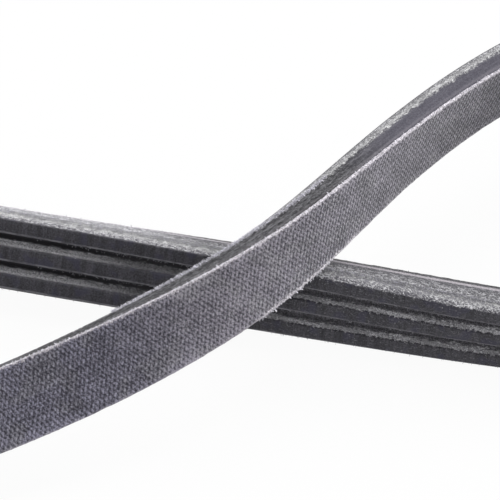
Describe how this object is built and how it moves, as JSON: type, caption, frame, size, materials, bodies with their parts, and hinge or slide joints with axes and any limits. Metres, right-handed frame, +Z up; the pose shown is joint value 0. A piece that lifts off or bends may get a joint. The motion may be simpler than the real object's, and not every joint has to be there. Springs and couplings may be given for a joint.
{
  "type": "serpentine belt",
  "caption": "Closed ribbed drive belt with a woven fabric back and V ribs along its other face, standing on its cut edge and crossed over itself into lobes.",
  "frame": {"origin": "on the floor, below the centre of the belt's bounding box", "axes": "+X along the row of lobes, +Y away from the viewer, +Z up from the floor"},
  "size_m": [0.3414, 0.1014, 0.0217],
  "materials": {
    "rubber": "matte",
    "woven_back": "matte"
  },
  "bodies": {
    "root": {"belt": "rubber"}
  },
  "joints": []
}
